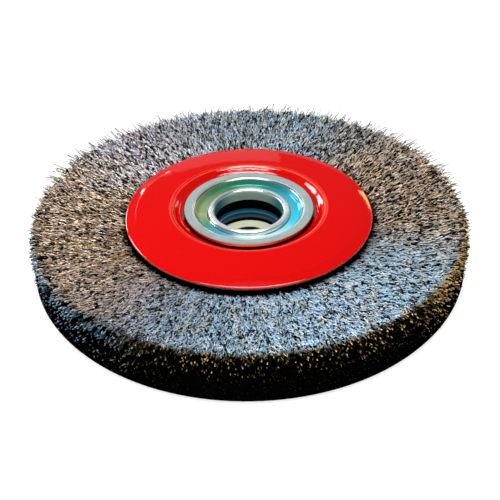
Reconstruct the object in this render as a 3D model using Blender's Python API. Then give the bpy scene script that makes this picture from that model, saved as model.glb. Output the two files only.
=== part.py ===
# A crimped wire wheel brush for a bench grinder.
# It lies flat: the bore's axis is Z, the front faces +Z and the origin is at the centre of the wheel.
# Lengths are in metres.
import math
import random

import bmesh
import bpy
from mathutils import Vector

# Between pieces that touch
FIT_GAP = 0.0003

# Wheel
WHEEL_DIAMETER = 0.200
FACE_WIDTH = 0.022

# Hub cup: one pressing with a flat ring, a groove, a rolled bead and the tube of the bore
BORE_DIAMETER = 0.032
CUP_SHEET = 0.0012
BEAD_WIDTH = 0.0033
GROOVE_WIDTH = 0.0064
GROOVE_LEAN = 0.0016
GROOVE_DEPTH = 0.0033
GROOVE_BEND = 0.0014
RING_WIDTH = 0.0045
RING_LIFT = 0.001
BEAD_BELOW_RING = 0.0012
TUBE_SPACING = 0.006

# Hub spacer: the sleeve that both tubes are pressed into
SPACER_WALL = 0.003

# Side plate: a shallow cone with a dish for the hub cup and a band along its edge
PLATE_DIAMETER = 0.1148
PLATE_SHEET = 0.0012
CROWN_LIFT = 0.0002
PLATE_CONE_RISE = 0.0019
EDGE_BAND_WIDTH = 0.0044
EDGE_BAND_DROP = 0.0011
DISH_WIDTH = 0.0029
DISH_DEPTH = 0.0037
DISH_MARGIN = 0.0026
PLATE_BEND = 0.002

# Holding ring: the wire that the fill is folded over
HOLDING_WIRE = 0.004
HOLDING_OFFSET = 0.0048

# Wire fill
FOLD_THICKNESS = 0.0045
FOLD_SLOTS = 20
FOLD_SLOT_WIDTH = 0.0012
TUFTS = 60
CRIMPS = 7
CRIMP_HEIGHT = 0.0013
CRIMP_SCATTER = 0.0004
CRIMP_SWAY = 0.42
FILL_FLARE = 0.6
RIM_ROUNDING = 0.0035
SHOULDER_CRIMP = 0.6
TIP_SCATTER = 0.003
CORNER_SCATTER = 0.3
SHOULDER_SCATTER = 0.8
FILL_SEED = 5

# Reducing ring: lies loose in the mouth of the rear cup
REDUCER_WALL = 0.00585
REDUCER_THICKNESS = 0.0022
REDUCER_CLEARANCE = 0.00015
REDUCER_CHAMFER = 0.0003

# Facets around the axis, around the holding wire and along a bend
CUP_FACETS = 30
PLATE_FACETS = 40
HOLDING_FACETS = 24
HOLDING_WIRE_FACETS = 6
CHANNEL_FACETS = 6
BEND_FACET = math.radians(40)
LARGEST_BEND_REACH = 0.49
LARGEST_MITRE = 2

# Follow from the sizes above
WHEEL_RADIUS = WHEEL_DIAMETER / 2
BORE_RADIUS = BORE_DIAMETER / 2
BEAD_RADIUS = BORE_RADIUS + BEAD_WIDTH
GROOVE_RADIUS = BEAD_RADIUS + GROOVE_WIDTH
RING_RADIUS = GROOVE_RADIUS + RING_WIDTH
DISH_RADIUS = RING_RADIUS + DISH_MARGIN
CROWN_RADIUS = DISH_RADIUS + DISH_WIDTH
PLATE_RADIUS = PLATE_DIAMETER / 2
PLATE_HOLE_RADIUS = (
    GROOVE_RADIUS
    - GROOVE_LEAN * (CUP_SHEET / 2 + RING_LIFT) / GROOVE_DEPTH
    + CUP_SHEET / 2 * math.hypot(GROOVE_LEAN, GROOVE_DEPTH) / GROOVE_DEPTH
    + FIT_GAP
)
HOLDING_RADIUS = CROWN_RADIUS + HOLDING_OFFSET
FOLD_RADIUS = HOLDING_RADIUS - HOLDING_WIRE / 2 - FIT_GAP - FOLD_THICKNESS
CROWN_HEIGHT = FACE_WIDTH / 2 + CROWN_LIFT

RED_ENAMEL = (0.76, 0.006, 0.006, 1.0)
ZINC = (0.62, 0.68, 0.67, 1.0)
WIRE_STEEL = (0.33, 0.31, 0.28, 1.0)
DARK_STEEL = (0.05, 0.05, 0.05, 1.0)
CREAM = (0.52, 0.53, 0.40, 1.0)

FRONT = 1
REAR = -1


def clear_scene():
    for thing in list(bpy.data.objects):
        bpy.data.objects.remove(thing)


def make_material(name, colour, roughness, metallic):
    material = bpy.data.materials.new(name)
    material.use_nodes = True
    shader = material.node_tree.nodes["Principled BSDF"]
    shader.inputs["Base Color"].default_value = colour
    shader.inputs["Roughness"].default_value = roughness
    shader.inputs["Metallic"].default_value = metallic
    return material


def round_corners(corners):
    # Each corner is (radius from the axis, height, bend radius). A bend is limited by the legs beside it.
    path = [Vector(corners[0][:2])]
    for before, corner, after in zip(corners, corners[1:], corners[2:]):
        point = Vector(corner[:2])
        back = Vector(before[:2]) - point
        ahead = Vector(after[:2]) - point
        half_angle = back.angle(ahead) / 2
        longest = LARGEST_BEND_REACH * min(back.length, ahead.length)
        reach = min(corner[2] / math.tan(half_angle), longest)
        middle = (back.normalized() + ahead.normalized()).normalized()
        centre = point + middle * (reach / math.cos(half_angle))
        start = point + back.normalized() * reach - centre
        end = point + ahead.normalized() * reach - centre
        steps = max(1, round((math.pi - 2 * half_angle) / BEND_FACET))
        for step in range(steps + 1):
            path.append(centre + start.normalized().slerp(end.normalized(), step / steps) * start.length)
    path.append(Vector(corners[-1][:2]))
    return path


def sheet_sides(path, thickness):
    # The two sides of a sheet whose middle follows the path
    upper, lower = [], []
    for index, point in enumerate(path):
        here = (path[min(index + 1, len(path) - 1)] - point).normalized()
        there = (point - path[max(index - 1, 0)]).normalized()
        along = (here + there).normalized()
        mitre = min(1 / along.dot(here if here.length else there), LARGEST_MITRE)
        across = Vector((along.y, -along.x)) * (thickness / 2 * mitre)
        upper.append(point + across)
        lower.append(point - across)
    return upper, lower


def make_object(name, shape, material, sharp_angle):
    mesh = mesh_from(shape, name)
    mesh.shade_smooth()
    mesh.set_sharp_from_angle(angle=math.radians(sharp_angle))
    mesh.materials.append(material)
    piece = bpy.data.objects.new(name, mesh)
    bpy.context.scene.collection.objects.link(piece)
    return piece


def make_cutter(name, shape):
    cutter = bpy.data.objects.new(name, mesh_from(shape, name))
    bpy.context.scene.collection.objects.link(cutter)
    cutter.hide_render = True
    cutter.display_type = "WIRE"
    return cutter


def mesh_from(shape, name):
    # A closed shape becomes a mesh whose faces point out
    bmesh.ops.recalc_face_normals(shape, faces=shape.faces)
    if shape.calc_volume(signed=True) < 0:
        bmesh.ops.reverse_faces(shape, faces=shape.faces)
    mesh = bpy.data.meshes.new(name)
    shape.to_mesh(mesh)
    shape.free()
    return mesh


def revolved(outline, facets, side=FRONT):
    # A closed outline of (radius, height) points, turned around the Z axis
    shape = bmesh.new()
    points = [shape.verts.new((point[0], 0, point[1] * side)) for point in outline]
    edges = [shape.edges.new((points[index - 1], points[index])) for index in range(len(points))]
    bmesh.ops.spin(
        shape,
        geom=points + edges,
        cent=(0, 0, 0),
        axis=(0, 0, 1),
        angle=math.tau,
        steps=facets,
        use_merge=True,
    )
    return shape


def plate_sides():
    # The outer and the inner side of the sheet, from the hole to the edge, with the crown at its height
    corners = [
        (PLATE_HOLE_RADIUS, -DISH_DEPTH, 0),
        (DISH_RADIUS, -DISH_DEPTH, PLATE_BEND),
        (CROWN_RADIUS, 0, PLATE_BEND),
        (PLATE_RADIUS - EDGE_BAND_WIDTH, -PLATE_CONE_RISE, PLATE_BEND),
        (PLATE_RADIUS, -PLATE_CONE_RISE - EDGE_BAND_DROP, 0),
    ]
    inner, outer = sheet_sides(round_corners(corners), PLATE_SHEET)
    rise = Vector((0, CROWN_HEIGHT - max(point.y for point in outer)))
    return [point + rise for point in outer], [point + rise for point in inner]


def cup_heights():
    # Of the ring, the bead and the bottom of the groove. The groove's wall is seated in the plate's hole.
    outer, _ = plate_sides()
    ring = outer[0].y + RING_LIFT + CUP_SHEET
    return ring, ring - BEAD_BELOW_RING, ring - GROOVE_DEPTH


def cup_outline():
    half = CUP_SHEET / 2
    ring, bead, groove = (height - half for height in cup_heights())
    outer_leg = BEAD_RADIUS - half
    inner_leg = BORE_RADIUS + half
    bead_bend = (outer_leg - inner_leg) / 2
    corners = [
        (RING_RADIUS, ring, 0),
        (GROOVE_RADIUS, ring, GROOVE_BEND),
        (GROOVE_RADIUS - GROOVE_LEAN, groove, GROOVE_BEND),
        (outer_leg, groove, GROOVE_BEND),
        (outer_leg, bead, bead_bend),
        (inner_leg, bead, bead_bend),
        (inner_leg, TUBE_SPACING / 2, 0),
    ]
    upper, lower = sheet_sides(round_corners(corners), CUP_SHEET)
    return upper + lower[::-1]


def height_on(side, radius):
    # The height of a plate's side at a radius
    for before, after in zip(side, side[1:]):
        if before.x <= radius <= after.x:
            return before.y + (after.y - before.y) * (radius - before.x) / (after.x - before.x)
    return side[-1].y


def fill_half_section():
    # From the middle of the fold to the middle of the rim: (radius, height, crimp, scatter)
    outer, inner = plate_sides()
    fold_height = height_on(inner, HOLDING_RADIUS) - FIT_GAP
    section = []
    for turn in (0, 45):
        angle = math.radians(turn)
        reach = HOLDING_RADIUS - FOLD_RADIUS
        section.append((HOLDING_RADIUS - reach * math.cos(angle), fold_height * math.sin(angle), 0, 0))
    band_radius = PLATE_RADIUS - EDGE_BAND_WIDTH
    edge_radius = PLATE_RADIUS + FIT_GAP
    section.append((HOLDING_RADIUS, fold_height, 0, 0))
    section.append((band_radius, height_on(inner, band_radius) - FIT_GAP, 0, 0))
    edge_height = inner[-1].y - FIT_GAP
    section.append((edge_radius, edge_height, 0, 0))
    rim_radius = WHEEL_RADIUS - RIM_ROUNDING
    rim_height = FACE_WIDTH / 2 - CRIMP_HEIGHT - CRIMP_SCATTER
    for crimp in range(1, CRIMPS + 1):
        share = crimp / CRIMPS
        radius = edge_radius + (rim_radius - edge_radius) * share
        height = edge_height + (rim_height - edge_height) * share**FILL_FLARE
        section.append((radius, height, 1 if crimp % 2 else -1, CORNER_SCATTER if crimp == CRIMPS else 0))
    shoulder_radius = WHEEL_RADIUS - RIM_ROUNDING * (1 - math.cos(math.pi / 4))
    shoulder_height = FACE_WIDTH / 2 - RIM_ROUNDING
    section.append((shoulder_radius, shoulder_height, SHOULDER_CRIMP, SHOULDER_SCATTER))
    return section


def make_fill(material):
    top = fill_half_section()
    rows = [(*row, FRONT) for row in top]
    rows.append((WHEEL_RADIUS, 0, 0, 1, FRONT))
    rows += [(*row, REAR) for row in top[:0:-1]]
    columns = 2 * TUFTS
    chance = random.Random(FILL_SEED)
    tips = [TIP_SCATTER * chance.random() + (TIP_SCATTER / 2) * (column % 2) for column in range(columns)]
    for quarter in range(4):
        tips[quarter * columns // 4] = 0
    shape = bmesh.new()
    grid = []
    for radius, height, crimp, scatter, side in rows:
        ring = []
        for column in range(columns):
            ridge = 1 if (column % 2 == 0) == (side == FRONT) else -1
            angle = math.tau * (column + CRIMP_SWAY * crimp * side) / columns
            reach = radius - tips[column] * scatter
            lift = height + (ridge * CRIMP_HEIGHT + chance.uniform(-1, 1) * CRIMP_SCATTER) * abs(crimp)
            ring.append(shape.verts.new((reach * math.cos(angle), reach * math.sin(angle), lift * side)))
        grid.append(ring)
    for index, ring in enumerate(grid):
        inner_ring = grid[index - 1]
        for column in range(columns):
            after = (column + 1) % columns
            shape.faces.new((inner_ring[column], ring[column], ring[after], inner_ring[after]))
    fill = make_object("wire_fill", shape, material, sharp_angle=20)
    cut_away(fill, make_channel())
    cut_away(fill, make_slots())
    return fill


def cut_away(piece, cutter):
    cut = piece.modifiers.new(cutter.name, "BOOLEAN")
    cut.operation = "DIFFERENCE"
    cut.solver = "EXACT"
    cut.object = cutter


def circle_outline(radius_from_axis, radius, facets):
    # The section of a round wire that runs around the axis
    outline = []
    for facet in range(facets):
        angle = math.tau * (facet + 0.5) / facets
        outline.append(Vector((radius_from_axis + radius * math.cos(angle), radius * math.sin(angle))))
    return outline


def make_channel():
    # The hollow that the holding ring lies in
    across_corners = (HOLDING_WIRE / 2 + FIT_GAP) / math.cos(math.pi / CHANNEL_FACETS)
    outline = circle_outline(HOLDING_RADIUS, across_corners, CHANNEL_FACETS)
    return make_cutter("holding_channel", revolved(outline, HOLDING_FACETS))


def make_slots():
    # The gaps between the folded tufts, from the axis to the holding ring
    shape = bmesh.new()
    start = FOLD_RADIUS - FOLD_THICKNESS
    length = HOLDING_RADIUS - start
    for slot in range(FOLD_SLOTS):
        angle = math.tau * (slot + 0.5) / FOLD_SLOTS
        box = bmesh.ops.create_cube(shape, size=1)["verts"]
        for corner in box:
            along = start + (corner.co.x + 0.5) * length
            across = corner.co.y * FOLD_SLOT_WIDTH
            corner.co = Vector((
                along * math.cos(angle) - across * math.sin(angle),
                along * math.sin(angle) + across * math.cos(angle),
                corner.co.z * CROWN_HEIGHT * 2,
            ))
    return make_cutter("fold_slots", shape)


def make_holding_ring(material):
    outline = circle_outline(HOLDING_RADIUS, HOLDING_WIRE / 2, HOLDING_WIRE_FACETS)
    return make_object("holding_ring", revolved(outline, HOLDING_FACETS), material, sharp_angle=80)


def make_hub_spacer(material):
    inner = BORE_RADIUS + CUP_SHEET + FIT_GAP
    outer = inner + SPACER_WALL
    _, _, groove = cup_heights()
    top = groove - CUP_SHEET - FIT_GAP
    outline = [Vector(point) for point in ((inner, -top), (outer, -top), (outer, top), (inner, top))]
    return make_object("hub_spacer", revolved(outline, CUP_FACETS), material, sharp_angle=40)


def make_reducing_ring(material):
    outer = BORE_RADIUS - REDUCER_CLEARANCE
    inner = outer - REDUCER_WALL
    bottom = -CROWN_HEIGHT
    top = bottom + REDUCER_THICKNESS
    outline = [
        Vector((inner, bottom)),
        Vector((outer, bottom)),
        Vector((outer, top - REDUCER_CHAMFER)),
        Vector((outer - REDUCER_CHAMFER, top)),
        Vector((inner + REDUCER_CHAMFER, top)),
        Vector((inner, top - REDUCER_CHAMFER)),
    ]
    return make_object("reducing_ring", revolved(outline, CUP_FACETS), material, sharp_angle=30)


def make_plate(name, side, material):
    outer, inner = plate_sides()
    return make_object(name, revolved(outer + inner[::-1], PLATE_FACETS, side), material, sharp_angle=40)


def make_cup(name, side, material):
    return make_object(name, revolved(cup_outline(), CUP_FACETS, side), material, sharp_angle=60)


def build():
    clear_scene()
    enamel = make_material("red_enamel", RED_ENAMEL, 0.2, 0.0)
    zinc = make_material("zinc_plating", ZINC, 0.22, 1.0)
    wire = make_material("wire_steel", WIRE_STEEL, 0.45, 1.0)
    dark = make_material("dark_steel", DARK_STEEL, 0.5, 1.0)
    cream = make_material("cream_plastic", CREAM, 0.5, 0.0)
    make_fill(wire)
    make_holding_ring(dark)
    make_plate("front_plate", FRONT, enamel)
    make_plate("rear_plate", REAR, enamel)
    make_cup("front_hub_cup", FRONT, zinc)
    make_cup("rear_hub_cup", REAR, zinc)
    make_hub_spacer(dark)
    make_reducing_ring(cream)


build()
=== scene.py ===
# Wire wheel brush, lying flat on its rear plate: the finish of every surface and the single wires.
import math

import bmesh
import bpy
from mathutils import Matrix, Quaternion, Vector


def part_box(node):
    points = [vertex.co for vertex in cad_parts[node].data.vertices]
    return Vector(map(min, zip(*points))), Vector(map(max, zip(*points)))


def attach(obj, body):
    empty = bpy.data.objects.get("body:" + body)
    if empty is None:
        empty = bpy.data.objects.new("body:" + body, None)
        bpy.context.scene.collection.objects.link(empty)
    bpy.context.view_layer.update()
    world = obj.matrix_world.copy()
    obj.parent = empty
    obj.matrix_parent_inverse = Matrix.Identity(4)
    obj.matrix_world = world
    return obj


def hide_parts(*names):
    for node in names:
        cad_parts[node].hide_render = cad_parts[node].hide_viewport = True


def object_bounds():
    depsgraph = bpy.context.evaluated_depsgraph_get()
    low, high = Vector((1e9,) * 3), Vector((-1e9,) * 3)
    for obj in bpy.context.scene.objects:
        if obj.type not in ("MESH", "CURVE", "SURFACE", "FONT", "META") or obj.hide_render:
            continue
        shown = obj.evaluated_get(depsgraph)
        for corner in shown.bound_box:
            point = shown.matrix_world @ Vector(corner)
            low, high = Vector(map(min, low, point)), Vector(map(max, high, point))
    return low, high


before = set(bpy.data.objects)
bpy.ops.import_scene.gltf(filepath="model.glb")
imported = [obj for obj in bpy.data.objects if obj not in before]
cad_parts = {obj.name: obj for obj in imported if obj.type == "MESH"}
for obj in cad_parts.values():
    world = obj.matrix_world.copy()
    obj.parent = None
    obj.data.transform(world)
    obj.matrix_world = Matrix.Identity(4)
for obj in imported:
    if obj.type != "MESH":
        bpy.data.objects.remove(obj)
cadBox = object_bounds()
print("frame loaded:", len(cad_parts), "nodes")

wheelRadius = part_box("wire_fill")[1].x
floorHeight = cadBox[0][2]
front = 1
rear = -1


# Node trees

class Signal:
    # An output socket that does arithmetic
    def __init__(self, graph, socket):
        self.graph = graph
        self.socket = socket

    def __add__(self, other):
        return self.graph.maths("ADD", self, other)

    def __radd__(self, other):
        return self.graph.maths("ADD", other, self)

    def __sub__(self, other):
        return self.graph.maths("SUBTRACT", self, other)

    def __rsub__(self, other):
        return self.graph.maths("SUBTRACT", other, self)

    def __mul__(self, other):
        return self.graph.maths("MULTIPLY", self, other)

    def __rmul__(self, other):
        return self.graph.maths("MULTIPLY", other, self)

    def __truediv__(self, other):
        return self.graph.maths("DIVIDE", self, other)

    def __rtruediv__(self, other):
        return self.graph.maths("DIVIDE", other, self)

    def __pow__(self, other):
        return self.graph.maths("POWER", self, other)


class Graph:
    # Adds nodes to a shader or geometry tree
    def __init__(self, tree):
        self.tree = tree

    def add(self, kind, settings=None, inputs=None):
        # A ramp's stops are (position, colour) pairs
        node = self.tree.nodes.new(kind)
        for name, value in (settings or {}).items():
            if name == "stops":
                self.setStops(node.color_ramp, value)
            else:
                setattr(node, name, value)
        for name, value in (inputs or {}).items():
            self.feed(self.findSocket(node, name), value)
        return {socket.name: Signal(self, socket) for socket in node.outputs if socket.enabled}

    def findSocket(self, node, name):
        # By its number, or by its name among those in use
        if isinstance(name, int):
            return node.inputs[name]
        return next(socket for socket in node.inputs if socket.enabled and socket.name == name)

    def feed(self, socket, value):
        # A colour may leave out its fourth value
        if isinstance(value, Signal):
            self.tree.links.new(value.socket, socket)
        elif socket.type == "RGBA":
            socket.default_value = (*value[:3], 1)
        else:
            socket.default_value = value

    def setStops(self, ramp, stops):
        while len(ramp.elements) < len(stops):
            ramp.elements.new(1)
        for element, (position, colour) in zip(ramp.elements, stops):
            element.position = position
            element.color = (*colour, 1)

    def maths(self, operation, first, second=0.0, clamp=False):
        settings = {"operation": operation, "use_clamp": clamp}
        return self.add("ShaderNodeMath", settings, {0: first, 1: second})["Value"]

    def between(self, value, low, high):
        # 0 at low, 1 at high, with soft ends
        settings = {"interpolation_type": "SMOOTHSTEP"}
        return self.add("ShaderNodeMapRange", settings, {0: value, 1: low, 2: high})["Result"]

    def mixColours(self, share, first, second):
        values = {"Factor": share, "A": first, "B": second}
        return self.add("ShaderNodeMix", {"data_type": "RGBA"}, values)["Result"]


# Finishes

def newMaterial(name, **fixed):
    # A Principled material with its fixed values set on its own sockets
    material = bpy.data.materials.new(name)
    material.use_nodes = True
    graph = Graph(material.node_tree)
    shader = material.node_tree.nodes["Principled BSDF"]
    for socket, value in fixed.items():
        shader.inputs[socket.replace("_", " ")].default_value = value
    return material, graph, shader


def bump(graph, shader, height, distance):
    values = {"Height": height, "Distance": distance}
    graph.feed(shader.inputs["Normal"], graph.add("ShaderNodeBump", None, values)["Normal"])


def spotOn(graph):
    # Position on the object, in metres
    return graph.add("ShaderNodeTexCoord")["Object"]


def fromAxis(graph, spot):
    # The parts of a position, and its distance from the axis
    parts = graph.add("ShaderNodeSeparateXYZ", None, {"Vector": spot})
    flat = parts["X"] * parts["X"] + parts["Y"] * parts["Y"]
    return parts, flat ** 0.5


def noise(graph, spot, scale, detail, roughness=0.5):
    # A finish's dictionary holds the scale, detail and any roughness of a noise together
    values = {"Vector": spot, "Scale": scale, "Detail": detail, "Roughness": roughness}
    return graph.add("ShaderNodeTexNoise", None, values)["Fac"]


wireFinish = {
    # grey, rose, tan and blue are painted reflections, set by direction around the wheel
    "grey": (0.62, 0.82, 0.98),
    "rose": (0.90, 0.86, 0.98),
    "tan": (0.94, 0.68, 0.45),
    "blue": (0.53, 0.80, 1.00),
    "pale": (0.94, 0.95, 1.00),      # painted highlights on single wires
    # straw: painted glints on single wires
    "straw": (1.00, 0.78, 0.36),
    "gold": (1.00, 0.72, 0.26),      # painted glints on the cut ends around the rim
    "bronze": (0.80, 0.54, 0.22),    # painted reflection on the rim on the right
    "teal": (0.06, 0.36, 0.60),      # painted reflection on the rim on the left
    # slate: painted reflection on the rim, mixed with the teal
    "slate": (0.60, 0.72, 0.80),
    # dark: painted shade on the rim and on the unlit stretches of each wire
    "dark": (0.008, 0.006, 0.005),
    "metallic": 0.35,
    "roughness": 0.28,
    "specular": 0.3,
    "patchNoise": (38.0, 3.0),
    "patchStrength": 0.3,
    "tanTurn": math.radians(12),     # from the X axis to where a colour is strongest
    "blueTurn": math.radians(-70),
    "bronzeTurn": math.radians(-20),
    "tealTurn": math.radians(212),
    "tanReach": (0.62, 0.98),        # how near that way it starts and is full, where 1 is along it
    "blueReach": (0.46, 0.94),
    "bronzeReach": (0.86, 0.97),
    "tealReach": (0.78, 0.94),
    "roseReach": (0.1, 0.7),
    "paleWires": (0.55, 0.90),       # single wires, picked by their own values from 0 to 1
    "paleShare": 0.8,
    "strawWires": (0.85, 0.90),
    "strawShare": 0.6,
}
wireRim = {
    "radius": (0.0955, 0.0985),      # where the painted shade on the rim starts and is full
    "shoulder": (0.0084, 0.0100),    # the heights between which it ends
    "nearRise": 0.0037,              # it reaches this much higher on the near side
    "nearReach": (0.30, 0.70),
    "scatter": 0.0020,               # how unevenly it ends from wire to wire
    "dotWires": (0.46, 0.74),        # which of the cut ends get painted glints
    "dotHeight": (-0.002, 0.0095),
    "dotAlong": (0.78, 0.93),
    "sideWires": (-0.20, 0.30),      # which wires get painted light on the left and right
    "sideHeight": (-0.0120, 0.0040),
    "sideLow": 0.5,                  # the share of painted light that is left low down on the left
}
wireLight = {
    "dullest": 0.36,                 # the dullest wire's brightness
    "blueLift": 0.9,
    "nearLift": 0.30,
    "near": (0.10, -0.70),
    "far": (0.70, 0.95),
    "nearTone": 0.17,                # more of each wire is painted lit on the near and the far side
    "farTone": 0.10,
    "lit": (0.50, 0.60),             # the tone from which a stretch is painted lit
    "right": (0.30, 0.90),
    "rightShade": 0.12,
    "gapRadius": 0.0620,             # painted shade in the gap beside the plate
    "gapHeight": (0.0046, 0.0062),
}


def makeWireSteel():
    material, graph, shader = newMaterial(
        "wire_steel", Roughness=wireFinish["roughness"], Specular_IOR_Level=wireFinish["specular"])
    spot = spotOn(graph)
    parts, radius = fromAxis(graph, spot)
    tone = graph.add("ShaderNodeAttribute", {"attribute_name": "wireTone"})["Fac"]
    tint = graph.add("ShaderNodeAttribute", {"attribute_name": "wireTint"})["Fac"]
    along = graph.add("ShaderNodeAttribute", {"attribute_name": "wireAlong"})["Fac"]
    patchStrength = wireFinish["patchStrength"]
    patches = noise(graph, spot, *wireFinish["patchNoise"]) * patchStrength - patchStrength / 2

    def towards(turn):
        # 1 where the wires run this way from the axis, -1 where they run the other way
        return (parts["X"] * math.cos(turn) + parts["Y"] * math.sin(turn)) / radius

    def draw(times):
        # Another value from 0 to 1 for each wire
        return graph.maths("FRACT", tint * times)

    sparkle = draw(7.0)
    cutEnd = draw(5.0)
    ragged = draw(3.0)
    brightness = draw(13.0)
    # Painted reflections: the wires' colour follows the direction around the wheel
    alongTan = graph.maths("ABSOLUTE", towards(wireFinish["tanTurn"]))
    toSides = graph.between(alongTan + patches, *wireFinish["tanReach"])
    toFront = graph.between(towards(wireFinish["blueTurn"]) + patches, *wireFinish["blueReach"])
    toLeft = graph.between(parts["X"] / radius * -1, *wireFinish["roseReach"])
    colour = graph.mixColours(toLeft, wireFinish["grey"], wireFinish["rose"])
    colour = graph.mixColours(toSides, colour, wireFinish["tan"])
    colour = graph.mixColours(toFront, colour, wireFinish["blue"])
    # Painted highlights and glints on single wires, pale and straw
    pale = graph.between(sparkle, *wireFinish["paleWires"]) * wireFinish["paleShare"]
    colour = graph.mixColours(pale, colour, wireFinish["pale"])
    straw = graph.between(tint, *wireFinish["strawWires"]) * wireFinish["strawShare"]
    colour = graph.mixColours(straw, colour, wireFinish["straw"])

    # Painted shade on the rim: near black, with painted glints in gold on the cut ends, and painted
    # reflections, bronze on the right and teal on the left
    rise = graph.between(towards(wireFinish["blueTurn"]), *wireRim["nearReach"]) * wireRim["nearRise"]
    shoulder = parts["Z"] - rise + ragged * wireRim["scatter"] - wireRim["scatter"] / 2
    below = 1 - graph.between(shoulder, *wireRim["shoulder"])
    onRim = graph.between(radius, *wireRim["radius"]) * below
    toBronze = graph.between(towards(wireFinish["bronzeTurn"]), *wireFinish["bronzeReach"])
    toTeal = graph.between(towards(wireFinish["tealTurn"]), *wireFinish["tealReach"])
    ends = graph.mixColours(toBronze, wireFinish["gold"], wireFinish["bronze"])
    shaded = graph.mixColours(sparkle, wireFinish["teal"], wireFinish["slate"])
    colour = graph.mixColours(onRim, colour, graph.mixColours(toTeal, ends, shaded))
    high = graph.between(parts["Z"], *wireRim["dotHeight"])
    atTip = graph.between(along, *wireRim["dotAlong"])
    dots = graph.between(cutEnd, *wireRim["dotWires"]) * high * atTip
    sideLow = wireRim["sideLow"]
    lower = graph.between(parts["Z"], *wireRim["sideHeight"]) * (1 - sideLow) + sideLow
    sides = graph.maths("MAXIMUM", toTeal * lower, toBronze) * graph.between(cutEnd, *wireRim["sideWires"])
    lit = graph.maths("MAXIMUM", dots, sides)

    # Painted light and shade: each wire has its own brightness, raised on the near side and lowered on the
    # right, and only some stretches of it are painted lit; the rest is painted dark
    inShade = graph.between(parts["X"] / radius, *wireLight["right"]) * wireLight["rightShade"]
    level = wireLight["dullest"] + (1 - wireLight["dullest"]) * brightness
    toNear = graph.between(parts["Y"] / radius, *wireLight["near"])
    toFar = graph.between(parts["Y"] / radius, *wireLight["far"])
    lift = graph.maths("MAXIMUM", toFront * wireLight["blueLift"], toNear * wireLight["nearLift"])
    level = level + (1 - level) * lift
    tone = tone + toNear * wireLight["nearTone"] + toFar * wireLight["farTone"]
    stroke = graph.between(tone, *wireLight["lit"]) * level * (1 - inShade)
    # Painted shade in the gap beside the plate's edge
    pastPlate = graph.between(radius, fill["plateEdge"], wireLight["gapRadius"])
    abovePlate = graph.between(parts["Z"], *wireLight["gapHeight"])
    gap = (1 - pastPlate) * (1 - abovePlate)
    shown = stroke * (1 - onRim * (1 - lit)) * (1 - gap)
    graph.feed(shader.inputs["Base Color"], graph.mixColours(shown, wireFinish["dark"], colour))
    graph.feed(shader.inputs["Metallic"], 1 - shown * (1 - wireFinish["metallic"]))
    return material


coreFinish = {
    # near black: painted shade seen in the gaps between the wires
    "dark": (0.0008, 0.0008, 0.0008),
    "pale": (0.006, 0.005, 0.004),
    "roughness": 0.8,
    "streakNoise": (900.0, 4.0, 0.7),
    "streaks": (0.45, 0.8),
    "bump": 0.0006,
}


def makeCoreSteel():
    material, graph, shader = newMaterial(
        "wire_core_steel", Roughness=coreFinish["roughness"], Specular_IOR_Level=0.0)
    streaks = noise(graph, spotOn(graph), *coreFinish["streakNoise"])
    share = graph.between(streaks, *coreFinish["streaks"])
    graph.feed(shader.inputs["Base Color"], graph.mixColours(share, coreFinish["dark"], coreFinish["pale"]))
    bump(graph, shader, streaks, coreFinish["bump"])
    return material


enamelFinish = {
    "red": (0.68, 0.002, 0.001),
    "deep": (0.62, 0.001, 0.001),
    "thinShine": (0.95, 0.16, 0.05),      # painted highlight along the crown and the edge
    "paintedShade": (0.006, 0.001, 0.001),  # painted shade beside the hub ring and under the plate
    "roughness": 0.05,
    "specular": 0.75,
    "cloudNoise": (30.0, 3.0),
    "shineNoise": (45.0, 2.0),
    "shinePatches": (0.30, 0.65),
    "leastShine": 0.4,
    "shineSpread": 0.3,
    "shineWay": (0.8, 0.6),           # the crown's painted highlight is strongest to the right and far
    "shineReach": (0.80, 0.97),
    "crownWidth": 0.0005,
    "crownShare": 0.85,
    "edgeFrom": 0.0003,              # in from the plate's edge
    "edgeTo": 0.0001,
    "edgeShare": 0.3,
    "underside": (0.0080, 0.0076),   # the heights below which shade is painted
    "undersideShare": 0.9,
    "shadeRadius": (0.0303, 0.0311),
    "rippleNoise": (260.0, 2.0),
    "ripple": 0.00003,
}


def makeRedEnamel():
    material, graph, shader = newMaterial(
        "red_enamel", Roughness=enamelFinish["roughness"], Specular_IOR_Level=enamelFinish["specular"])
    spot = spotOn(graph)
    parts, radius = fromAxis(graph, spot)
    clouds = noise(graph, spot, *enamelFinish["cloudNoise"])
    colour = graph.mixColours(clouds, enamelFinish["red"], enamelFinish["deep"])
    # Painted highlight along the crown and the edge, broken up in patches
    fromCrown = graph.maths("ABSOLUTE", radius - plate["crownRadius"])
    crown = graph.between(fromCrown, enamelFinish["crownWidth"], 0.0)
    edge = graph.between(
        radius, plate["radius"] - enamelFinish["edgeFrom"], plate["radius"] - enamelFinish["edgeTo"])
    shinePatches = graph.between(noise(graph, spot, *enamelFinish["shineNoise"]), *enamelFinish["shinePatches"])
    shinePatches = enamelFinish["leastShine"] + shinePatches * enamelFinish["shineSpread"]
    wayX, wayY = enamelFinish["shineWay"]
    aside = graph.between((parts["X"] * wayX + parts["Y"] * wayY) / radius, *enamelFinish["shineReach"])
    crown = crown * graph.maths("MAXIMUM", shinePatches, aside)
    thinShine = graph.maths("MAXIMUM", crown * enamelFinish["crownShare"], edge * enamelFinish["edgeShare"])
    colour = graph.mixColours(thinShine, colour, enamelFinish["thinShine"])
    # Painted shade under the plate and beside the hub ring
    under = graph.between(graph.maths("ABSOLUTE", parts["Z"]), *enamelFinish["underside"])
    colour = graph.mixColours(under * enamelFinish["undersideShare"], colour, enamelFinish["paintedShade"])
    paintedShade = 1 - graph.between(radius, *enamelFinish["shadeRadius"])
    graph.feed(shader.inputs["Base Color"], graph.mixColours(paintedShade, colour, enamelFinish["paintedShade"]))
    bump(graph, shader, noise(graph, spot, *enamelFinish["rippleNoise"]), enamelFinish["ripple"])
    return material


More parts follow.
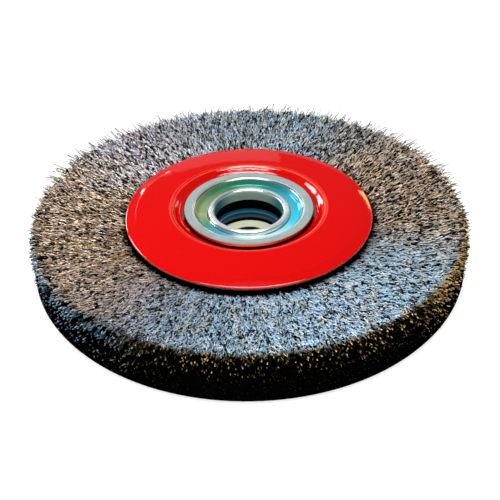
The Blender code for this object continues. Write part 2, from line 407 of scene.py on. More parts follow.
zincFinish = {
    "flat": (0.64, 0.78, 0.75),
    "cloud": (0.56, 0.70, 0.67),
    # brown: painted reflection, a dark line on each side of the groove
    "brown": (0.18, 0.08, 0.06),
    "white": (0.92, 0.93, 0.95),     # painted highlight on the bead and the ring's inner bend
    # straw: painted reflection on the bead to the left and far
    "straw": (0.42, 0.30, 0.18),
    "orange": (0.80, 0.13, 0.04),    # painted reflection of the red paint in the ring's outer edge
    "metallic": 0.85,
    "roughness": 0.16,
    "cloudNoise": (160.0, 3.0),
    "cloudReach": (0.35, 0.65),
    "strawWay": (-0.7, 0.7),         # towards the left and far
    "strawReach": (0.70, 0.98),
    "strawShare": 0.55,
    "highlightShare": 0.6,
    "filmDulling": 0.5,              # how much less metallic the highlighted and filmed places are
    "latheScale": 60.0,
    "latheNoise": (40.0, 3.0),
    "latheBump": 0.000004,
}
hubRings = {
    # distances from the axis; a pair is where a ring starts or ends softly
    "filmStart": (0.0197, 0.0203),
    "filmEnd": (0.0249, 0.0252),
    "filmShare": 0.95,
    "outerLine": 0.0253,
    "innerLine": 0.0196,
    "lineWidth": 0.0003,
    "lineShare": 0.8,
    "beadStart": (0.0166, 0.0171),
    "beadEnd": (0.0186, 0.0192),
    "bend": 0.0260,
    "bendWidth": (0.0006, 0.0002),
    "orangeFrom": 0.0002,            # in from the ring's outer edge
    "orangeTo": 0.0001,
}
tubeFinish = {
    "front": (0.42, 0.58, 0.50),     # the front tube in the middle of its far wall
    "frontSides": (0.01, 0.20, 0.26),
    "middle": (0.45, 0.95),
    "rearBottom": -0.010,            # the heights that the rear tube's colours run between
    "rearTop": -0.002,
    "rearEnd": (-0.003, 0.0),        # the heights where the rear tube gives way to the front one
    "wall": (0.0161, 0.0166),        # how far from the axis the tubes and the rear flare reach
    "flare": (0.0195, 0.0200),
    "dulling": 0.7,                  # how much less metallic and how much rougher they are
    "roughening": 0.35,
}
filmAndReflectionColours = (
    # the film's colours, placed around the axis as painted reflections
    # share of a turn, starting on the left and going to the near side
    (0.00, (0.38, 0.46, 0.18)),
    (0.07, (0.06, 0.30, 0.15)),
    (0.14, (0.00, 0.40, 0.72)),
    (0.24, (0.45, 0.62, 0.58)),
    (0.34, (0.66, 0.92, 0.98)),
    (0.44, (0.00, 0.66, 0.86)),
    (0.56, (0.02, 0.40, 0.58)),
    (0.68, (0.01, 0.26, 0.24)),
    (0.78, (0.01, 0.26, 0.14)),
    (0.88, (0.08, 0.28, 0.12)),
    (0.96, (0.26, 0.36, 0.16)),
)
tubeColours = (
    # share of the height between the rear tube's bottom and top; the near-black stops are painted shade,
    # the bright blue ones painted highlights
    (0.00, (0.001, 0.002, 0.003)),
    (0.32, (0.001, 0.002, 0.003)),
    (0.38, (0.000, 0.12, 0.30)),
    (0.48, (0.000, 0.08, 0.20)),
    (0.56, (0.000, 0.02, 0.04)),
    (0.66, (0.000, 0.03, 0.06)),
    (0.75, (0.004, 0.40, 0.80)),
    (0.81, (0.005, 0.16, 0.26)),
    (0.90, (0.000, 0.02, 0.03)),
)


def makeZinc():
    material, graph, shader = newMaterial("zinc_plating")
    spot = spotOn(graph)
    parts, radius = fromAxis(graph, spot)
    cloud = graph.between(noise(graph, spot, *zincFinish["cloudNoise"]), *zincFinish["cloudReach"])
    colour = graph.mixColours(cloud, zincFinish["flat"], zincFinish["cloud"])

    def onRing(start, end):
        # 1 from a ring's start to its end
        return graph.between(radius, *hubRings[start]) * (1 - graph.between(radius, *hubRings[end]))

    def awayFrom(name):
        # The distance to a circle around the axis
        return graph.maths("ABSOLUTE", radius - hubRings[name])

    # The iridescent film in the groove runs through its colours around the axis; the colours are painted
    # reflections
    turn = graph.maths("ARCTAN2", parts["Y"], parts["X"]) / math.tau + 0.5
    filmAndReflection = graph.add("ShaderNodeValToRGB", {"stops": filmAndReflectionColours}, {"Fac": turn})["Color"]
    inGroove = onRing("filmStart", "filmEnd")
    colour = graph.mixColours(inGroove * hubRings["filmShare"], colour, filmAndReflection)
    # Painted reflections: a dark brown line on each side of the groove
    outerLine = graph.between(awayFrom("outerLine"), hubRings["lineWidth"], 0.0)
    innerLine = graph.between(awayFrom("innerLine"), hubRings["lineWidth"], 0.0)
    line = graph.maths("MAXIMUM", outerLine, innerLine)
    colour = graph.mixColours(line * hubRings["lineShare"], colour, zincFinish["brown"])
    # Painted highlight on the bead and the ring's inner bend, with a painted straw reflection to the left
    # and far
    bead = onRing("beadStart", "beadEnd")
    wearAndHighlight = graph.maths("MAXIMUM", bead, graph.between(awayFrom("bend"), *hubRings["bendWidth"]))
    wayX, wayY = zincFinish["strawWay"]
    toStraw = graph.between((parts["Y"] * wayY + parts["X"] * wayX) / radius, *zincFinish["strawReach"])
    toStraw = toStraw * zincFinish["strawShare"]
    highlightColour = graph.mixColours(toStraw, zincFinish["white"], zincFinish["straw"])
    colour = graph.mixColours(wearAndHighlight, colour, highlightColour)
    # Painted reflection of the red paint in the ring's outer edge
    rim = graph.between(
        radius, cup["ringRadius"] - hubRings["orangeFrom"], cup["ringRadius"] - hubRings["orangeTo"])
    colour = graph.mixColours(rim, colour, zincFinish["orange"])

    # Inside the bore the colours are painted light and shade: the front tube grey-green, lighter in the
    # middle of its far wall, the rear tube deep blue with bright painted highlight bands, down to its dark
    # flare
    inTube = 1 - graph.between(radius, *tubeFinish["wall"])
    low = 1 - graph.between(parts["Z"], *tubeFinish["rearEnd"])
    share = (parts["Z"] - tubeFinish["rearBottom"]) / (tubeFinish["rearTop"] - tubeFinish["rearBottom"])
    rearTube = graph.add("ShaderNodeValToRGB", {"stops": tubeColours}, {"Fac": share})["Color"]
    middle = graph.between(parts["Y"] / radius, *tubeFinish["middle"])
    frontTube = graph.mixColours(middle, tubeFinish["frontSides"], tubeFinish["front"])
    tube = graph.mixColours(low, frontTube, rearTube)
    covered = graph.maths("MAXIMUM", inTube, low * (1 - graph.between(radius, *tubeFinish["flare"])))
    graph.feed(shader.inputs["Base Color"], graph.mixColours(covered, colour, tube))
    filmed = graph.maths("MAXIMUM", wearAndHighlight * zincFinish["highlightShare"], inGroove) * (1 - covered)
    metallic = zincFinish["metallic"] - covered * tubeFinish["dulling"] - filmed * zincFinish["filmDulling"]
    graph.feed(shader.inputs["Metallic"], metallic)
    graph.feed(shader.inputs["Roughness"], zincFinish["roughness"] + covered * tubeFinish["roughening"])
    lathe = graph.add("ShaderNodeCombineXYZ", None, {"X": radius * zincFinish["latheScale"]})["Vector"]
    bump(graph, shader, noise(graph, lathe, *zincFinish["latheNoise"]), zincFinish["latheBump"])
    return material


darkFinish = {
    # near black: painted shade for the gap between the tubes, where the spacer lies
    "deepShade": (0.0004, 0.0004, 0.0004),
    "steel": (0.003, 0.003, 0.0035),
    "metallic": 0.9,
    "roughness": 0.5,
    "specular": 0.1,
    "mottleNoise": (300.0, 3.0),
    "bump": 0.00003,
}


def makeDarkSteel():
    material, graph, shader = newMaterial(
        "dark_steel", Metallic=darkFinish["metallic"], Roughness=darkFinish["roughness"],
        Specular_IOR_Level=darkFinish["specular"])
    # Painted shade: near-black steel in the gap between the tubes
    mottle = noise(graph, spotOn(graph), *darkFinish["mottleNoise"])
    colour = graph.mixColours(mottle, darkFinish["deepShade"], darkFinish["steel"])
    graph.feed(shader.inputs["Base Color"], colour)
    bump(graph, shader, mottle, darkFinish["bump"])
    return material


creamFinish = {
    "cream": (0.60, 0.62, 0.44),
    "wearAndHighlight": (0.46, 0.47, 0.32),
    "speck": (0.10, 0.09, 0.06),
    "hole": (0.004, 0.010, 0.012),   # painted shade on the wall of the spindle hole
    "roughness": 0.45,
    "turnScale": 1000.0,
    "turnNoise": (3.2, 2.0),
    "cloudNoise": (120.0, 3.0),
    "speckNoise": (900.0, 1.0),
    "specks": (0.70, 0.76),
    "holeFrom": 0.0001,              # out from the hole's wall
    "holeTo": 0.0003,
    "bump": 0.00004,
}


def makeCream():
    material, graph, shader = newMaterial("cream_plastic", Roughness=creamFinish["roughness"])
    spot = spotOn(graph)
    radius = fromAxis(graph, spot)[1]
    rings = graph.add("ShaderNodeCombineXYZ", None, {"X": radius * creamFinish["turnScale"]})["Vector"]
    marks = noise(graph, rings, *creamFinish["turnNoise"])
    cloud = noise(graph, spot, *creamFinish["cloudNoise"])
    colour = graph.mixColours(marks * cloud, creamFinish["cream"], creamFinish["wearAndHighlight"])
    specks = graph.between(noise(graph, spot, *creamFinish["speckNoise"]), *creamFinish["specks"])
    colour = graph.mixColours(specks, colour, creamFinish["speck"])
    # Painted shade on the wall of the spindle hole
    inHole = 1 - graph.between(
        radius, reducer["inner"] + creamFinish["holeFrom"], reducer["inner"] + creamFinish["holeTo"])
    graph.feed(shader.inputs["Base Color"], graph.mixColours(inHole, colour, creamFinish["hole"]))
    bump(graph, shader, marks, creamFinish["bump"])
    return material


# Turned pieces

turning = {
    "segments": 160,
    "bendStep": math.radians(9),
    "legShare": 0.49,                # a bend takes at most this share of the straight beside it
    "leastMitre": 0.5,
    "sharpAngle": math.radians(38),
}


def roundCorners(corners):
    # Each corner is (radius from the axis, height, bend radius)
    path = [Vector(corners[0][:2])]
    for before, corner, after in zip(corners, corners[1:], corners[2:]):
        point = Vector(corner[:2])
        back = Vector(before[:2]) - point
        ahead = Vector(after[:2]) - point
        halfAngle = back.angle(ahead) / 2
        leg = turning["legShare"] * min(back.length, ahead.length)
        reach = min(corner[2] / math.tan(halfAngle), leg)
        middle = (back.normalized() + ahead.normalized()).normalized()
        centre = point + middle * (reach / math.cos(halfAngle))
        start = point + back.normalized() * reach - centre
        end = point + ahead.normalized() * reach - centre
        steps = max(2, round((math.pi - 2 * halfAngle) / turning["bendStep"]))
        for step in range(steps + 1):
            arm = start.normalized().slerp(end.normalized(), step / steps) * start.length
            path.append(centre + arm)
    path.append(Vector(corners[-1][:2]))
    return path


def sheetOutline(path, thickness):
    # The closed outline of a sheet whose middle follows the path
    upper, lower = [], []
    for index, point in enumerate(path):
        ahead = (path[min(index + 1, len(path) - 1)] - point).normalized()
        behind = (point - path[max(index - 1, 0)]).normalized()
        along = (ahead + behind).normalized()
        mitre = 1 / max(along.dot(ahead if ahead.length else behind), turning["leastMitre"])
        across = Vector((along.y, -along.x)) * (thickness / 2 * mitre)
        upper.append(point + across)
        lower.append(point - across)
    return upper + lower[::-1]


def turned(name, outline, side, material, nodes):
    # A closed outline of (radius, height) points, turned around Z
    shape = bmesh.new()
    points = [shape.verts.new((point[0], 0, point[1] * side)) for point in outline]
    edges = [shape.edges.new((points[index - 1], points[index])) for index in range(len(points))]
    bmesh.ops.spin(
        shape, geom=points + edges, cent=(0, 0, 0), axis=(0, 0, 1),
        angle=math.tau, steps=turning["segments"], use_merge=True)
    bmesh.ops.recalc_face_normals(shape, faces=shape.faces)
    if shape.calc_volume(signed=True) < 0:
        bmesh.ops.reverse_faces(shape, faces=shape.faces)
    mesh = bpy.data.meshes.new(name)
    shape.to_mesh(mesh)
    shape.free()
    mesh.shade_smooth()
    mesh.set_sharp_from_angle(angle=turning["sharpAngle"])
    mesh.materials.append(material)
    return addPiece(name, mesh, nodes)


def addPiece(name, mesh, nodes):
    piece = bpy.data.objects.new(name, mesh)
    bpy.context.scene.collection.objects.link(piece)
    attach(piece, "root")
    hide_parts(*nodes)
    return piece


plate = {
    "sheet": 0.0012,
    "hole": 0.02589,
    "dishRadius": 0.0328,
    "crownRadius": 0.0357,
    "dishDepth": 0.0037,
    "coneRise": 0.0019,
    "bandWidth": 0.0044,
    "bandDrop": 0.0011,
    "bend": 0.002,
    "crownBend": 0.0028,
    "dishBend": 0.0047,
    "edgeBend": 0.0007,
    "edgeDrop": 0.0006,
    "radius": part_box("front_plate")[1].x,
    "top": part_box("front_plate")[1].z,
}


def makePlate(name, side):
    edge = plate["radius"] - plate["sheet"] / 2
    low = -plate["coneRise"] - plate["bandDrop"]
    corners = [
        (plate["hole"], -plate["dishDepth"], 0),
        (plate["dishRadius"], -plate["dishDepth"], plate["dishBend"]),
        (plate["crownRadius"], 0, plate["crownBend"]),
        (edge - plate["bandWidth"], -plate["coneRise"], plate["bend"]),
        (edge, low, plate["edgeBend"]),
        (edge, low - plate["edgeDrop"], 0),
    ]
    path = roundCorners(corners)
    outline = sheetOutline(path, plate["sheet"])
    rise = plate["top"] - max(point.y for point in outline)
    outline = [(point.x, point.y + rise) for point in outline]
    return turned(name + "_enamelled", outline, side, redEnamel, [name])


cup = {
    "sheet": 0.0012,
    "ringRadius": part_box("front_hub_cup")[1].x,
    "ringTop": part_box("front_hub_cup")[1].z,
    "groove": 0.0257,
    "grooveLean": 0.0016,
    "grooveDepth": 0.0033,
    "bend": 0.0014,
    "bead": 0.0193,
    "beadDrop": 0.0012,
    "bore": 0.016,
    "tubeEnd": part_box("front_hub_cup")[0].z,
}


def makeCup(name, side):
    half = cup["sheet"] / 2
    ring = cup["ringTop"] - half
    groove = ring - cup["grooveDepth"]
    outerLeg = cup["bead"] - half
    innerLeg = cup["bore"] + half
    corners = [
        (cup["ringRadius"], ring, 0),
        (cup["groove"], ring, cup["bend"]),
        (cup["groove"] - cup["grooveLean"], groove, cup["bend"]),
        (outerLeg, groove, cup["bend"]),
        (outerLeg, ring - cup["beadDrop"], (outerLeg - innerLeg) / 2),
        (innerLeg, ring - cup["beadDrop"], (outerLeg - innerLeg) / 2),
        (innerLeg, cup["tubeEnd"], 0),
    ]
    outline = sheetOutline(roundCorners(corners), cup["sheet"])
    return turned(name + "_plated", outline, side, zincPlating, [name])


reducer = {"outer": 0.01585, "inner": 0.010, "chamfer": 0.0003}


def makeReducer():
    low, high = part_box("reducing_ring")
    chamfer = reducer["chamfer"]
    inner, outer = reducer["inner"], reducer["outer"]
    outline = [
        (inner, low.z),
        (outer, low.z),
        (outer, high.z - chamfer),
        (outer - chamfer, high.z),
        (inner + chamfer, high.z),
        (inner, high.z - chamfer),
    ]
    return turned("reducing_ring_moulded", outline, front, creamPlastic, ["reducing_ring"])


spacer = {"inner": 0.0175, "outer": 0.0205}


def makeSpacer():
    low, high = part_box("hub_spacer")
    inner, outer = spacer["inner"], spacer["outer"]
    outline = [(inner, low.z), (outer, low.z), (outer, high.z), (inner, high.z)]
    return turned("hub_spacer_turned", outline, front, darkSteel, ["hub_spacer"])


redEnamel = makeRedEnamel()
zincPlating = makeZinc()
darkSteel = makeDarkSteel()
creamPlastic = makeCream()
print("finishes made")

makePlate("front_plate", front)
makePlate("rear_plate", rear)
makeCup("front_hub_cup", front)
makeCup("rear_hub_cup", rear)
makeReducer()
makeSpacer()
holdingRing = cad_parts["holding_ring"]
holdingRing.data.materials.clear()
holdingRing.data.materials.append(darkSteel)
print("plates, cups, spacer and rings made")


# Wires

fill = {
    "plateEdge": plate["radius"],
    "edgeHeight": 0.0046,
    "rimHeight": 0.0100,
    "rimRadius": wheelRadius,
    "heightPower": 0.6,
    "tufts": 64,
}
wireSteel = makeWireSteel()
coreSteel = makeCoreSteel()


def fillHeight(radius):
    share = (radius - fill["plateEdge"]) / (fill["rimRadius"] - fill["plateEdge"])
    share = min(max(share, 0), 1)
    return fill["edgeHeight"] + (fill["rimHeight"] - fill["edgeHeight"]) * share ** fill["heightPower"]


core = {
    "fold": 0.0337,                  # its inner end, where the wires are folded round the holding ring
    "foldWidth": 0.002,
    "foldTop": 0.0050,
    "foldBottom": -0.0046,
    "start": 0.045,
    "rim": 0.0920,
    "steps": 10,
    "depth": 0.0014,                 # how far it lies below the front face
    "rearInset": 0.0025,             # how far in from the rim its rear face ends
    "rearGap": 0.0001,
    "edge": (
        # its rim from top to bottom: the outer wires stand proud of its shoulder, and it is full below
        (0.0945, 0.0074),
        (0.0970, 0.0058),
        (0.0990, 0.0036),
        (0.1000, 0.0006),
        (0.1005, -0.0060),
        (0.1007, -0.0098),
        (0.1001, -0.0109),
        (0.0987, -0.0111),
    ),
}


def coreSteps(end):
    reach = end - core["start"]
    return [core["start"] + reach * step / core["steps"] for step in range(core["steps"] + 1)]


def makeCore():
    # The mass below the outer wires, near black: painted shade that shows in their gaps
    shoulder = core["fold"] + core["foldWidth"]
    outline = [(core["fold"], 0), (shoulder, core["foldTop"])]
    outline.extend((radius, fillHeight(radius) - core["depth"]) for radius in coreSteps(core["rim"]))
    outline.extend(core["edge"])
    rearEnd = core["edge"][-1][0] - core["rearInset"]
    below = [(shoulder, core["foldBottom"])]
    below.extend((radius, -fillHeight(radius) - core["rearGap"]) for radius in coreSteps(rearEnd))
    return turned("wire_core", outline + below[::-1], front, coreSteel, ["wire_fill"])


wireInputs = (
    ("Wires", "NodeSocketInt"),
    ("Points", "NodeSocketInt"),
    ("Seed", "NodeSocketInt"),
    ("Root From", "NodeSocketFloat"),
    ("Root To", "NodeSocketFloat"),
    ("Tip From", "NodeSocketFloat"),
    ("Tip To", "NodeSocketFloat"),
    ("Length", "NodeSocketFloat"),
    ("Tip Rounding", "NodeSocketFloat"),
    ("Lowest Layer", "NodeSocketFloat"),
    ("Highest Layer", "NodeSocketFloat"),
    ("Sink", "NodeSocketFloat"),
    ("Rise", "NodeSocketFloat"),
    ("Rise Power", "NodeSocketFloat"),
    ("Crimp", "NodeSocketFloat"),
    ("Jitter", "NodeSocketFloat"),
    ("Lean", "NodeSocketFloat"),
    ("Wire Radius", "NodeSocketFloat"),
    ("Root Tone", "NodeSocketFloat"),
    ("Highest Tone", "NodeSocketFloat"),
    ("Tuft Pull", "NodeSocketFloat"),
    ("Far Reach", "NodeSocketFloat"),
    ("Steel", "NodeSocketMaterial"),
)


wireForm = {
    "sides": 3,
    "tipPower": 2.0,                 # most tips lie near the shortest
    "roundPower": 8.0,               # only the outermost layers are rounded off
    "tuftWaves": 7.0,                # the tufts' spacing wanders this often around the wheel
    "tuftWander": 2.3,
    "tuftLean": 1.6,
    "leanPower": 2.0,
    "farSide": (0.0, 0.4),           # the angle's sine where the far wires' extra reach starts and is full
    "farShare": (0.3, 1.0),          # each wire's own share of a size, from the lowest to the highest
    "lengthShare": (0.7, 1.3),
    "riseShare": (-0.2, 1.0),
    "crimpShare": (0.6, 1.3),
}


def makeWireTree():
    # One straight line is copied for each wire, then every point is set by its wire's own draws
    tree = bpy.data.node_groups.new("crimped_wires", "GeometryNodeTree")
    for name, kind in wireInputs:
        tree.interface.new_socket(name, in_out="INPUT", socket_type=kind)
    tree.interface.new_socket("Geometry", in_out="OUTPUT", socket_type="NodeSocketGeometry")
    graph = Graph(tree)
    given = graph.add("NodeGroupInput")
    line = graph.add("GeometryNodeCurvePrimitiveLine", None, {"End": (1, 0, 0)})["Curve"]
    line = graph.add("GeometryNodeResampleCurve", None, {"Curve": line, "Count": given["Points"]})["Curve"]
    copies = graph.add(
        "GeometryNodeDuplicateElements", {"domain": "SPLINE"},
        {"Geometry": line, "Amount": given["Wires"]})
    wire = copies["Duplicate Index"]
    along = graph.add("GeometryNodeSplineParameter")
    drawn = iter(range(1, 30))

    def draw(low, high, eachPoint=False):
        # A random value for each wire, or for each point
        values = {"Min": low, "Max": high, "Seed": given["Seed"] + next(drawn)}
        if not eachPoint:
            values["ID"] = wire
        return graph.add("FunctionNodeRandomValue", {"data_type": "FLOAT"}, values)["Value"]

    # A length of 0 runs each wire out to its own tip, another length stops it short
    root = draw(given["Root From"] * given["Root From"], given["Root To"] * given["Root To"]) ** 0.5
    layer = draw(given["Lowest Layer"], given["Highest Layer"])
    outermost = graph.maths("ABSOLUTE", layer) ** wireForm["roundPower"]
    angle = (wire + draw(0.0, 1.0)) * (math.tau / given["Wires"])
    wander = graph.maths("SINE", angle * wireForm["tuftWaves"]) * wireForm["tuftWander"]
    phase = angle * fill["tufts"] + wander
    pull = given["Tuft Pull"]
    spread = (given["Tip To"] - given["Tip From"]) * draw(0.0, 1.0) ** wireForm["tipPower"]
    reach = given["Tip From"] + spread - root - outermost * given["Tip Rounding"]
    reach = reach - graph.maths("COSINE", phase) * pull
    farther = graph.between(graph.maths("SINE", angle), *wireForm["farSide"]) * given["Far Reach"]
    farther = farther * (1 + graph.maths("ABSOLUTE", graph.maths("COSINE", angle)))
    reach = reach + farther * draw(*wireForm["farShare"])
    short = graph.maths("GREATER_THAN", given["Length"], 0.0)
    stop = graph.maths("MINIMUM", reach, given["Length"] * draw(*wireForm["lengthShare"]))
    length = reach + (stop - reach) * short
    radius = root + length * along["Factor"]
    share = graph.maths(
        "DIVIDE", radius - fill["plateEdge"], fill["rimRadius"] - fill["plateEdge"], clamp=True)
    height = fill["edgeHeight"] + (share ** fill["heightPower"]) * (fill["rimHeight"] - fill["edgeHeight"])
    proud = given["Rise"] * draw(*wireForm["riseShare"]) * (along["Factor"] ** given["Rise Power"])
    height = (height + proud - given["Sink"] * (1 - along["Factor"])) * layer
    zigzag = 1 - 2 * graph.maths("MODULO", along["Index"] + wire, 2.0)
    plane = draw(0.0, math.pi)
    crimp = given["Crimp"] * draw(*wireForm["crimpShare"]) * zigzag
    aside = crimp * graph.maths("COSINE", plane) + draw(-1.0, 1.0, True) * given["Jitter"]
    above = crimp * graph.maths("SINE", plane) + draw(-1.0, 1.0, True) * given["Jitter"]
    radius = radius + draw(-1.0, 1.0, True) * given["Jitter"]
    aside = aside + draw(-1.0, 1.0) * given["Lean"] * length * (along["Factor"] - 0.5)
    leaning = graph.maths("SINE", phase) * pull * (along["Factor"] ** wireForm["leanPower"])
    aside = aside + leaning * wireForm["tuftLean"]
    cosine = graph.maths("COSINE", angle)
    sine = graph.maths("SINE", angle)
    position = graph.add("ShaderNodeCombineXYZ", None, {
        "X": radius * cosine - aside * sine,
        "Y": radius * sine + aside * cosine,
        "Z": height + above,
    })["Vector"]
    curves = graph.add(
        "GeometryNodeSetPosition", None, {"Geometry": copies["Geometry"], "Position": position})["Geometry"]
    # Painted shade along each wire: its tone is lower towards the root
    rootTone = given["Root Tone"]
    tone = draw(0.0, given["Highest Tone"], True) * (rootTone + (1 - rootTone) * along["Factor"])
    for name, value in (("wireTone", tone), ("wireTint", draw(0.0, 1.0)), ("wireAlong", along["Factor"])):
        curves = graph.add(
            "GeometryNodeStoreNamedAttribute", {"data_type": "FLOAT", "domain": "POINT"},
            {"Geometry": curves, "Name": name, "Value": value})["Geometry"]
    section = graph.add(
        "GeometryNodeCurvePrimitiveCircle", None,
        {"Resolution": wireForm["sides"], "Radius": given["Wire Radius"]})["Curve"]
    sweep = {"Curve": curves, "Profile Curve": section, "Fill Caps": True}
    wires = graph.add("GeometryNodeCurveToMesh", None, sweep)["Mesh"]
    wires = graph.add("GeometryNodeSetShadeSmooth", None, {"Geometry": wires})["Geometry"]
    wires = graph.add("GeometryNodeRealizeInstances", None, {"Geometry": wires})["Geometry"]
    wires = graph.add(
        "GeometryNodeSetMaterial", None, {"Geometry": wires, "Material": given["Steel"]})["Geometry"]
    out = tree.nodes.new("NodeGroupOutput")
    graph.feed(out.inputs["Geometry"], wires)
    return tree


def makeWires(name, tree, values):
    # The tree's result becomes a plain mesh
    carrier = bpy.data.objects.new(name + "_carrier", bpy.data.meshes.new(name + "_carrier"))
    bpy.context.scene.collection.objects.link(carrier)
    modifier = carrier.modifiers.new("wires", "NODES")
    modifier.node_group = tree
    sockets = {item.name: item.identifier for item in tree.interface.items_tree if item.in_out == "INPUT"}
    for label, value in values.items():
        modifier[sockets[label]] = value
    evaluated = carrier.evaluated_get(bpy.context.evaluated_depsgraph_get())
    mesh = bpy.data.meshes.new_from_object(evaluated)
    mesh.name = name
    bpy.data.objects.remove(carrier)
    return addPiece(name, mesh, ["wire_fill"])


longWires = {
    "Wires": 900,
    "Points": 14,
    "Root From": 0.0530,
    "Root To": 0.0560,
    "Tip From": 0.0930,
    "Tip To": 0.0995,
    "Length": 0.0,
    "Tip Rounding": 0.0020,
    "Lowest Layer": 0.82,
    "Highest Layer": 0.98,
    "Sink": 0.0,
    "Rise": 0.0,
    "Rise Power": 5.0,
    "Crimp": 0.0005,
    "Jitter": 0.0002,
    "Lean": 0.12,
    "Wire Radius": 0.00028,
    "Root Tone": 1.0,
    "Highest Tone": 1.0,
    "Tuft Pull": 0.0,
    "Far Reach": 0.0,
    "Steel": wireSteel,
}
proudWires = {
    **longWires,
    "Wires": 7900,
    "Points": 4,
    "Root From": 0.0562,
    "Root To": 0.0950,
    "Tip From": 0.0942,
    "Tip To": 0.0998,
    "Length": 0.0058,
    "Tip Rounding": 0.0,
    "Lowest Layer": 0.93,
    "Highest Layer": 1.0,
    "Sink": 0.0008,
    "Rise": 0.0014,
    "Rise Power": 1.0,
    "Crimp": 0.00040,
    "Jitter": 0.00012,
    "Lean": 0.30,
    "Root Tone": 0.35,
    "Highest Tone": 1.6,
    "Tuft Pull": 0.0005,
    "Far Reach": 0.0034,
}
rearLongWires = {
    **longWires,
    "Wires": 700,
    "Tip From": 0.0970,
    "Tip To": 0.1008,
    "Lowest Layer": 1.0,
    "Highest Layer": 1.06,
    "Crimp": 0.0003,
    "Jitter": 0.0001,
}
rearProudWires = {
    **proudWires,
    "Wires": 3800,
    "Tip From": 0.0970,
    "Tip To": 0.1008,
    "Lowest Layer": 1.0,
    "Highest Layer": 1.06,
    "Rise": 0.0002,
    "Jitter": 0.0001,
    "Far Reach": 0.0,
}
rimWires = {
    **longWires,
    "Wires": 8200,
    "Points": 4,
    "Root From": 0.0945,
    "Root To": 0.0955,
    "Tip From": 0.0994,
    "Tip To": 0.1012,
    "Tip Rounding": 0.0008,
    "Lowest Layer": -1.07,
    "Highest Layer": 0.96,
    "Crimp": 0.0003,
    "Root Tone": 0.6,
    "Highest Tone": 1.1,
}
strayWires = {
    **longWires,
    "Wires": 700,
    "Points": 6,
    "Root From": 0.0880,
    "Root To": 0.0910,
    "Tip From": 0.0980,
    "Tip To": 0.1004,
    "Tip Rounding": 0.0,
    "Lowest Layer": 0.90,
    "Highest Layer": 1.0,
    "Rise": 0.0036,
    "Rise Power": 1.5,
    "Crimp": 0.0003,
    "Wire Radius": 0.00018,
    "Highest Tone": 1.2,
    "Tuft Pull": 0.0008,
    "Far Reach": 0.0036,
}
wirePieces = (
    ("front_wires_long", longWires, front, 11),
    ("front_wires_proud_a", proudWires, front, 51),
    ("front_wires_proud_b", proudWires, front, 91),
    ("front_wires_proud_c", proudWires, front, 291),
    ("rear_wires_long", rearLongWires, rear, 131),
    ("rear_wires_proud", rearProudWires, rear, 171),
    ("rim_wires", rimWires, front, 211),
    ("stray_wires", strayWires, front, 251),
)


def makeAllWires():
    tree = makeWireTree()
    for name, values, side, seed in wirePieces:
        layers = {label: values[label] * side for label in ("Lowest Layer", "Highest Layer")}
        piece = makeWires(name, tree, {**values, **layers, "Seed": seed})
        triangles = sum(len(face.vertices) - 2 for face in piece.data.polygons)
        print(name, triangles, "triangles")


makeCore()
makeAllWires()


# Stage, light and camera

stage = {
    "width": 4.0,
    "gap": 0.0002,
    "floor": (0.82, 0.82, 0.82),
    "shade": (0.02, 0.03, 0.03),     # deep shade under the wheel, seen through the bore
    "shadeReach": (0.0500, 0.0800),
    "white": (1, 1, 1),              # the floor's glow, and the world as the camera sees it
    "glow": 1.25,
    "glowShare": 0.6,
}


def makeFloor():
    mesh = bpy.data.meshes.new("floor")
    half = stage["width"] / 2
    height = floorHeight - stage["gap"]
    corners = [(-half, -half, height), (half, -half, height), (half, half, height), (-half, half, height)]
    mesh.from_pydata(corners, [], [(0, 1, 2, 3)])
    floor = bpy.data.objects.new("floor", mesh)
    bpy.context.scene.collection.objects.link(floor)
    material, graph, shader = newMaterial("floor_white", Roughness=1.0, Specular_IOR_Level=0.0)
    glow = graph.add(
        "ShaderNodeEmission", None, {"Color": stage["white"], "Strength": stage["glow"]})["Emission"]
    light = graph.add("ShaderNodeLightPath")
    seen = graph.maths("MAXIMUM", light["Is Camera Ray"], light["Is Glossy Ray"])
    seen = graph.maths("MAXIMUM", seen, light["Is Transmission Ray"])
    surface = Signal(graph, shader.outputs["BSDF"])
    radius = fromAxis(graph, spotOn(graph))[1]
    outside = graph.between(radius, *stage["shadeReach"])
    graph.feed(shader.inputs["Base Color"], graph.mixColours(outside, stage["shade"], stage["floor"]))
    share = seen * outside * stage["glowShare"]
    mixed = graph.add("ShaderNodeMixShader", None, {0: share, 1: surface, 2: glow})["Shader"]
    graph.feed(material.node_tree.nodes["Material Output"].inputs["Surface"], mixed)
    mesh.materials.append(material)


lamps = {
    # azimuth from +X, elevation, distance, width, height, roll, power, colour
    "overhead": (-90, 88, 0.9, 0.40, 0.24, 0, 3.0, (1, 1, 1)),
    "front_fill": (-90, 76, 0.9, 0.90, 0.30, 0, 6.3, (1, 1, 1)),
    "flat_card": (91, 33.8, 2.5, 0.72, 0.28, 0, 0.42, (0.92, 0.98, 1)),
    "pale_card": (98.5, 16.5, 2.5, 1.10, 0.40, 0, 0.36, (1, 1, 1)),
    "crease_strip": (112.9, 23.2, 2.5, 0.034, 0.66, -12, 0.85, (1, 0.93, 1)),
    "crease_end": (106.0, 18.8, 2.5, 0.02, 0.32, 69, 0.12, (1, 0.93, 1)),
    "left_pane_a": (132, 8, 2.5, 0.75, 0.75, 0, 20.0, (0.97, 0.96, 1)),
    "left_pane_b": (156, 20, 2.5, 0.95, 0.80, 0, 27.0, (0.97, 0.96, 1)),
    "right_pane": (43, 5.5, 2.5, 1.20, 0.30, 0, 1.5, (1, 0.98, 0.95)),
    "right_warm": (60.4, 22.0, 2.5, 0.10, 0.66, 47, 1.4, (1, 0.62, 0.22)),
}


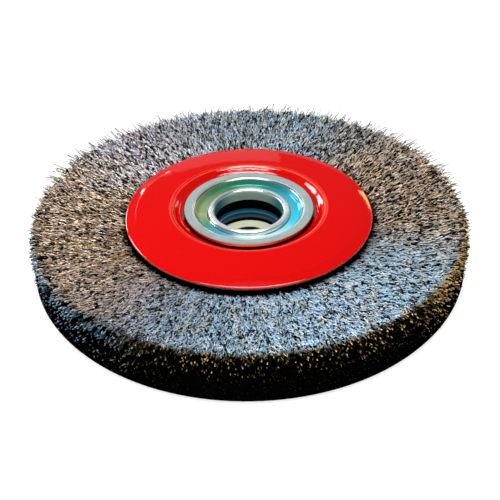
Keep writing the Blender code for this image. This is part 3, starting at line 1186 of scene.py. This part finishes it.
def makeLamps():
    for name, (azimuth, elevation, distance, width, height, roll, power, colour) in lamps.items():
        lamp = bpy.data.lights.new(name, "AREA")
        lamp.shape = "RECTANGLE"
        lamp.size = width
        lamp.size_y = height
        lamp.energy = power
        lamp.color = colour
        holder = bpy.data.objects.new(name, lamp)
        turn, tilt = math.radians(azimuth), math.radians(elevation)
        away = Vector((math.cos(turn) * math.cos(tilt), math.sin(turn) * math.cos(tilt), math.sin(tilt)))
        holder.location = away * distance
        aim = away.to_track_quat("Z", "Y") @ Quaternion((0, 0, 1), math.radians(roll))
        holder.rotation_euler = aim.to_euler()
        bpy.context.scene.collection.objects.link(holder)


sky = {
    "stops": (
        # height of the direction, from level to straight up
        (0.00, (0.30, 0.30, 0.30)),
        (0.11, (0.25, 0.25, 0.25)),
        (0.20, (0.07, 0.07, 0.07)),
        (0.92, (0.06, 0.06, 0.07)),
        (1.00, (0.60, 0.61, 0.63)),
    ),
    "left": (0.90, 0.88, 0.92),      # a pale glow low on the left
    "leftReach": (0.2, 0.8),
    "leftTop": (0.11, 0.20),
    "line": (14.0, 12.6, 10.8),      # a thin bowed line of light, high on the near side
    "lineHeight": 0.768,
    "lineBow": 0.158,
    "lineWidth": (0.009, 0.004),
    "lineNear": (-0.30, -0.45),
    "lineEnds": (0.34, 0.50),
}


def makeWorld():
    world = bpy.data.worlds.new("studio")
    world.use_nodes = True
    bpy.context.scene.world = world
    graph = Graph(world.node_tree)
    way = graph.add("ShaderNodeTexCoord")["Generated"]
    parts = graph.add("ShaderNodeSeparateXYZ", None, {"Vector": way})
    colour = graph.add("ShaderNodeValToRGB", {"stops": sky["stops"]}, {"Fac": parts["Z"]})["Color"]
    above = graph.between(parts["Z"], *sky["leftTop"])
    onLeft = graph.between(parts["X"] * -1, *sky["leftReach"]) * (1 - above)
    colour = graph.mixColours(onLeft, colour, sky["left"])

    # The dish's far wall mirrors this line
    bowed = parts["Z"] + parts["X"] * parts["X"] * sky["lineBow"]
    thinShine = graph.between(graph.maths("ABSOLUTE", bowed - sky["lineHeight"]), *sky["lineWidth"])
    nearSide = graph.between(parts["Y"], *sky["lineNear"])
    ends = graph.between(graph.maths("ABSOLUTE", parts["X"]), *sky["lineEnds"])
    line = thinShine * nearSide * (1 - ends)
    colour = graph.mixColours(line, colour, sky["line"])
    seen = graph.add("ShaderNodeLightPath")["Is Camera Ray"]
    colour = graph.mixColours(seen, colour, stage["white"])
    background = world.node_tree.nodes["Background"]
    graph.feed(background.inputs["Color"], colour)
    background.inputs["Strength"].default_value = 1.0


shot = {
    "distance": 0.3525,
    "elevation": 35.17,
    "roll": -1.07,
    "lens": 53.37,
    "sensor": 36.0,
    "shiftX": 0.00186,
    "shiftY": -0.05334,
    "nearest": 0.01,
}


def makeCamera():
    lens = bpy.data.cameras.new("camera")
    lens.lens = shot["lens"]
    lens.sensor_width = shot["sensor"]
    lens.shift_x = shot["shiftX"]
    lens.shift_y = shot["shiftY"]
    lens.clip_start = shot["nearest"]
    camera = bpy.data.objects.new("camera", lens)
    tilt = math.radians(shot["elevation"])
    camera.location = Vector((0, -math.cos(tilt), math.sin(tilt))) * shot["distance"]
    aim = (-camera.location).to_track_quat("-Z", "Y")
    camera.rotation_mode = "QUATERNION"
    camera.rotation_quaternion = aim @ Quaternion((0, 0, 1), math.radians(shot["roll"]))
    bpy.context.scene.collection.objects.link(camera)
    bpy.context.scene.camera = camera


makeFloor()
makeLamps()
makeWorld()
makeCamera()
bpy.context.scene.view_settings.view_transform = "Standard"
print("stage, light and camera set")
